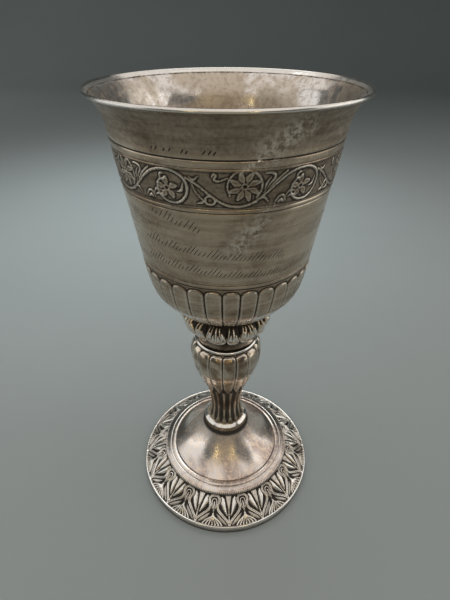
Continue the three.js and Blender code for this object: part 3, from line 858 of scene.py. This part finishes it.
def streak_group():
    """Faint rings left by turning and wiping: noise squeezed in height, so that it runs into streaks."""
    tree, given, put = new_group("turned_streaks", {"Scale": 30.0, "Squeeze": 14.0}, ["Mask"])
    place = stretched(tree, object_place(tree), 1.0, 1.0, given["Squeeze"])
    put("Mask", ramp_between(tree, noise(tree, place, given["Scale"], 6.0, 0.7), 0.35, 0.68))
    return tree


def scrape_group():
    """Scraped places: the worn attribute broken up by fine noise into bare bright metal and dark pits."""
    tree, given, put = new_group("scraped_places", {"Scale": 700.0}, ["Bare", "Pits"])
    worn = attribute(tree, "worn")
    grain = noise(tree, object_place(tree), given["Scale"], 4.0, 0.7)
    put("Bare", math_node(tree, "MULTIPLY", ramp_between(tree, grain, 0.42, 0.6), worn))
    put("Pits", math_node(tree, "MULTIPLY", ramp_between(tree, grain, 0.4, 0.3), worn))
    return tree


def scratch_group():
    """Fine scratches: thin ridges where stretched noise crosses its middle, in two directions."""
    tree, given, put = new_group("fine_scratches", {"Scale": 900.0, "Stretch": 0.05}, ["Height"])
    place = object_place(tree)
    ridges = []
    for turn in ((0.35, 0.2, 0.9), (1.1, -0.5, 2.3)):
        turned = add_node(tree, "ShaderNodeMapping", {"Vector": place, "Rotation": turn}).outputs[0]
        grain = noise(tree, stretched(tree, turned, 1.0, given["Stretch"], 0.4), given["Scale"], 2.0)
        away = math_node(tree, "ABSOLUTE", math_node(tree, "SUBTRACT", grain, 0.5))
        steep = math_node(tree, "MULTIPLY", away, 14.0)
        ridges.append(math_node(tree, "SUBTRACT", 1.0, steep, clamp=True))
    put("Height", math_node(tree, "MAXIMUM", *ridges))
    return tree


def patina_and_painted_light_group():
    """Black patina in the recesses, and painted shade: the piece's attribute, roughened by noise and
    sharpened. Where the attribute is below nothing the metal is made bright by as much: rubbed wear, and in
    places a painted highlight."""
    tree, given, put = new_group("patina_and_painted_light_nodes", {"Reach": 0.5, "Softness": 0.35}, ["Mask", "Rubbed_and_painted_highlight"])
    grain = noise(tree, object_place(tree), 900.0, 3.0)
    uneven = math_node(tree, "MULTIPLY", math_node(tree, "SUBTRACT", grain, 0.5), 0.3)
    depth = math_node(tree, "ADD", attribute(tree, "patina_and_painted_light"), uneven)
    low = math_node(tree, "SUBTRACT", given["Reach"], given["Softness"])
    high = math_node(tree, "ADD", given["Reach"], given["Softness"])
    put("Mask", ramp_between(tree, depth, low, high))
    put("Rubbed_and_painted_highlight", math_node(tree, "MULTIPLY", depth, -1.0, clamp=True))
    return tree


GROUPS = {"clouds": cloud_group(), "streaks": streak_group(), "scrapes": scrape_group(),
          "scratches": scratch_group(), "patina": patina_and_painted_light_group()}


def use_group(tree, key, **given):
    """The outputs of a group placed in a material with its own values."""
    return add_node(tree, "ShaderNodeGroup", given, node_tree=GROUPS[key]).outputs


def cloud_mask(tree, scale, low, high):
    """Clouds of tarnish as a mask."""
    return use_group(tree, "clouds", Scale=scale, Low=low, High=high)["Mask"]


# Materials

def new_material(name):
    """A material with its tree and its shader."""
    material = bpy.data.materials.new(name)
    material.use_nodes = True
    return material, material.node_tree, material.node_tree.nodes["Principled BSDF"]


# Black for patina in hollows and pits, also used for painted shade; rubbed silver for worn high places,
# also used for painted highlights.
BLACK_PATINA_AND_PAINTED_SHADE = (0.026, 0.021, 0.016)
RUBBED_SILVER_AND_PAINTED_HIGHLIGHT = (0.9, 0.87, 0.82)
SCRAPED_SILVER = (0.88, 0.8, 0.69)


def silver(name, clean, dull, rough, cloud=(40.0, 0.42, 0.62), bloom=None, mottle=0.6, streaks=0.0,
           lining=None):
    """Old silver: a clean and a dull tone mixed by clouds and level streaks, a bloom in small clouds,
    patina in the recesses together with painted shade, rubbed high places together with painted highlights,
    and fine scratches. With a lining, the inside has filmy tones with dark flecks of its own, and the
    outside scraped places."""
    material, tree, shader = new_material(name)
    clouds = cloud_mask(tree, *cloud)
    specks = cloud_mask(tree, 14 * cloud[0], 0.46, 0.6)
    # The patina mask also carries painted shade, and the rubbed share also carries painted highlights.
    patina_and_painted_light_outputs = use_group(tree, "patina")
    patina, rubbed_and_painted_highlight = patina_and_painted_light_outputs["Mask"], patina_and_painted_light_outputs["Rubbed_and_painted_highlight"]
    if streaks:
        clouds = mix_number(tree, streaks, clouds, use_group(tree, "streaks")["Mask"])
    tone = mix_colour(tree, clouds, clean, dull)
    gloss = mix_number(tree, clouds, *rough)
    metal = 1.0
    if bloom is not None:
        tone = mix_colour(tree, math_node(tree, "MULTIPLY", specks, mottle), tone, bloom)
    if lining is not None:
        inside = attribute(tree, "inside")
        film = cloud_mask(tree, 70.0, 0.4, 0.6)
        flecks = math_node(tree, "MULTIPLY", cloud_mask(tree, 620.0, 0.49, 0.58), 0.42)
        inner = mix_colour(tree, flecks, mix_colour(tree, film, lining[0], lining[1]), lining[2])
        tone = mix_colour(tree, inside, tone, inner)
        gloss = mix_number(tree, inside, gloss, mix_number(tree, film, 0.07, 0.36))
        metal = mix_number(tree, inside, 1.0, 0.82)
        scraped = use_group(tree, "scrapes")
        tone = mix_colour(tree, scraped["Bare"], tone, SCRAPED_SILVER)
        tone = mix_colour(tree, scraped["Pits"], tone, BLACK_PATINA_AND_PAINTED_SHADE)
        kept = math_node(tree, "SUBTRACT", 1.0, scraped["Bare"], clamp=True)
        patina = math_node(tree, "MULTIPLY", patina, kept)
    tone = mix_colour(tree, rubbed_and_painted_highlight, tone, RUBBED_SILVER_AND_PAINTED_HIGHLIGHT)
    tone = mix_colour(tree, patina, tone, BLACK_PATINA_AND_PAINTED_SHADE)
    gloss = math_node(tree, "ADD", gloss, math_node(tree, "MULTIPLY", specks, 0.06))
    gloss = math_node(tree, "SUBTRACT", gloss, math_node(tree, "MULTIPLY", rubbed_and_painted_highlight, 0.08))
    height = use_group(tree, "scratches")["Height"]
    bump = add_node(tree, "ShaderNodeBump", {"Height": height, "Strength": 0.12, "Distance": 0.00004})
    looks = {"Base Color": tone, "Roughness": mix_number(tree, patina, gloss, 0.6),
             "Metallic": mix_number(tree, patina, metal, 0.35), "Normal": bump.outputs["Normal"]}
    for label, value in looks.items():
        tree.links.new(value, shader.inputs[label])
    return material


def floor_material():
    """A matt pale grey-green table, with the faintest cloudiness."""
    material, tree, shader = new_material("pale_table")
    tone = mix_colour(tree, cloud_mask(tree, 3.0, 0.3, 0.7), (0.328, 0.362, 0.36), (0.342, 0.376, 0.375))
    tree.links.new(tone, shader.inputs["Base Color"])
    shader.inputs["Roughness"].default_value = 0.75
    return material


# The stage

# The camera, in units of 41 mm, degrees, and pixels of a picture 600 pixels high
CAMERA_UNIT = 41.0
CAMERA_BACK = 3.218
CAMERA_UP = 4.656
CAMERA_PITCH = 34.92
CAMERA_ROLL = 0.19
CAMERA_YAW = -0.21
FOCAL_PIXELS = 409.1
PICTURE_HEIGHT = 600


def stand(name, data, turned, place):
    """An object from its data, turned by a rotation and stood at its place."""
    thing = bpy.data.objects.new(name, data)
    thing.matrix_world = Matrix.Translation(place) @ turned.to_4x4()
    bpy.context.collection.objects.link(thing)
    return thing


def make_camera():
    """The camera: turned to its heading, tilted down by its pitch, then rolled about its view."""
    data = bpy.data.cameras.new("photo_camera")
    data.sensor_width = 36.0
    data.lens = FOCAL_PIXELS / PICTURE_HEIGHT * data.sensor_width
    data.clip_start = 0.005
    turned = Matrix.Rotation(math.radians(-CAMERA_YAW), 3, "Z")
    turned = turned @ Matrix.Rotation(math.radians(90 - CAMERA_PITCH), 3, "X")
    turned = turned @ Matrix.Rotation(math.radians(CAMERA_ROLL), 3, "Z")
    place = (0.0, -CAMERA_BACK * CAMERA_UNIT * MM, CAMERA_UP * CAMERA_UNIT * MM)
    bpy.context.scene.camera = stand("photo_camera", data, turned, place)


def area_light(name, place, target, size, power, colour):
    """A rectangle of light that faces its target, with its width level."""
    data = bpy.data.lights.new(name, "AREA")
    data.shape = "RECTANGLE"
    data.size, data.size_y = size
    data.energy = power
    data.color = colour
    back = np.array(place) - np.array(target)
    back = back / np.linalg.norm(back)
    right = np.cross((0, 0, 1), back)
    right = right / np.linalg.norm(right)
    stand(name, data, Matrix([right, np.cross(back, right), back]).transposed(), place)
    return data


def make_floor():
    """A wide pale floor that bends up behind in a quarter circle and stands up to a wall."""
    half, start, bend = 3.0, 1.3, 0.7
    turn = np.radians(np.linspace(0, 90, 13))
    rise = zip(start + bend * np.sin(turn), bend * (1 - np.cos(turn)))
    sweep = [(-half, 0.0), *rise, (start + bend, half)]
    corners = [(x, y, z) for y, z in sweep for x in (-half, half)]
    mesh = bpy.data.meshes.new("pale_floor")
    mesh.from_pydata(corners, [], [(2 * i, 2 * i + 1, 2 * i + 3, 2 * i + 2) for i in range(len(sweep) - 1)])
    mesh.polygons.foreach_set("use_smooth", [True] * len(mesh.polygons))
    mesh.materials.append(floor_material())
    floor = bpy.data.objects.new("pale_floor", mesh)
    bpy.context.collection.objects.link(floor)


def make_lights():
    """A dim room and soft lights: a ceiling panel with a dimmer warm one before it, a pool on the floor
    behind the goblet, side windows with a low one under each, a far window, dim brown shelves in front,
    and two rows of small warm tubes that show as yellow glints."""
    world = bpy.data.worlds.new("dim_room")
    bpy.context.scene.world = world
    world.use_nodes = True
    background = world.node_tree.nodes["Background"].inputs
    background["Color"].default_value = (0.95, 1.0, 0.98, 1.0)
    background["Strength"].default_value = 0.13
    cool, warm, waist = (0.98, 0.99, 1.0), (1.0, 0.98, 0.95), (0, 0, 0.1)
    area_light("ceiling_panel", (0.0, -0.14, 0.62), (0, -0.1399, 0), (1.3, 1.2), 3.3, (1.0, 0.95, 0.91))
    area_light("ceiling_front", (0.0, -0.95, 0.62), (0, -0.9499, 0), (1.3, 0.42), 0.75, (1.0, 0.79, 0.52))
    pool = area_light("floor_pool", (-0.08, 0.33, 0.55), (-0.08, 0.3301, 0), (0.35, 0.3), 0.38,
                      (0.9, 1.0, 1.04))
    pool.spread = math.radians(75)
    area_light("left_window", (-0.75, -0.05, 0.38), waist, (0.7, 0.5), 0.8, cool)
    area_light("right_window", (0.75, 0.05, 0.38), waist, (0.7, 0.5), 1.1, warm)
    area_light("left_low_window", (-0.5, -0.05, 0.07), (0, 0, 0.07), (0.45, 0.11), 0.13, warm)
    area_light("right_low_window", (0.5, -0.05, 0.07), (0, 0, 0.07), (0.45, 0.11), 0.15, warm)
    area_light("far_window", (-1.0, 0.9, 0.5), (-0.5, 1.7, 0.2), (0.5, 0.5), 0.9, (0.97, 1.0, 1.0))
    area_light("front_shelves", (0.0, -1.2, 0.3), waist, (1.0, 0.5), 0.34, (1.0, 0.68, 0.3))
    for name, across in (("left_tube", -0.4), ("right_tube", 0.3)):
        for row, up in enumerate((0.3, 0.37, 0.46)):
            area_light(f"{name}_{row}", (across, -0.8, up), waist, (0.1, 0.02), 0.03, (1.0, 0.8, 0.35))
    bpy.context.scene.view_settings.view_transform = "Standard"


make_camera()
make_floor()
make_lights()

# Each piece: how it is made, the node that it replaces, its slot, and its silver's clean and dull tones
PIECES = [
    (bowl_piece, "bowl", "bowl_silver", silver(
        "bowl_silver", (0.7, 0.585, 0.45), (0.22, 0.15, 0.09), rough=(0.18, 0.3), cloud=(32.0, 0.42, 0.62),
        bloom=(0.7, 0.59, 0.46), mottle=0.22, streaks=0.55,
        lining=((0.87, 0.81, 0.76), (0.62, 0.53, 0.43), (0.34, 0.26, 0.2)))),
    (stem_piece, "stem", "stem_silver", silver(
        "stem_silver", (0.82, 0.71, 0.57), (0.22, 0.15, 0.09), rough=(0.09, 0.2), cloud=(100.0, 0.42, 0.6),
        streaks=0.25)),
    (collar_piece, "leaf_collar", "cast_silver", silver(
        "collar_silver", (0.84, 0.71, 0.53), (0.55, 0.46, 0.34), rough=(0.12, 0.24))),
    (dome_piece, "foot_dome", "dome_silver", silver(
        "dome_silver", (0.82, 0.74, 0.68), (0.44, 0.34, 0.3), rough=(0.2, 0.36), bloom=(0.95, 0.76, 0.58))),
    (border_piece, "foot_border", "cast_silver", silver(
        "border_silver", (0.87, 0.81, 0.73), (0.64, 0.57, 0.49), rough=(0.14, 0.24))),
]
for make, node, finish, material in PIECES:
    piece = make()
    piece.data.materials.append(material)
    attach(piece, "root")
    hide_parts(node)
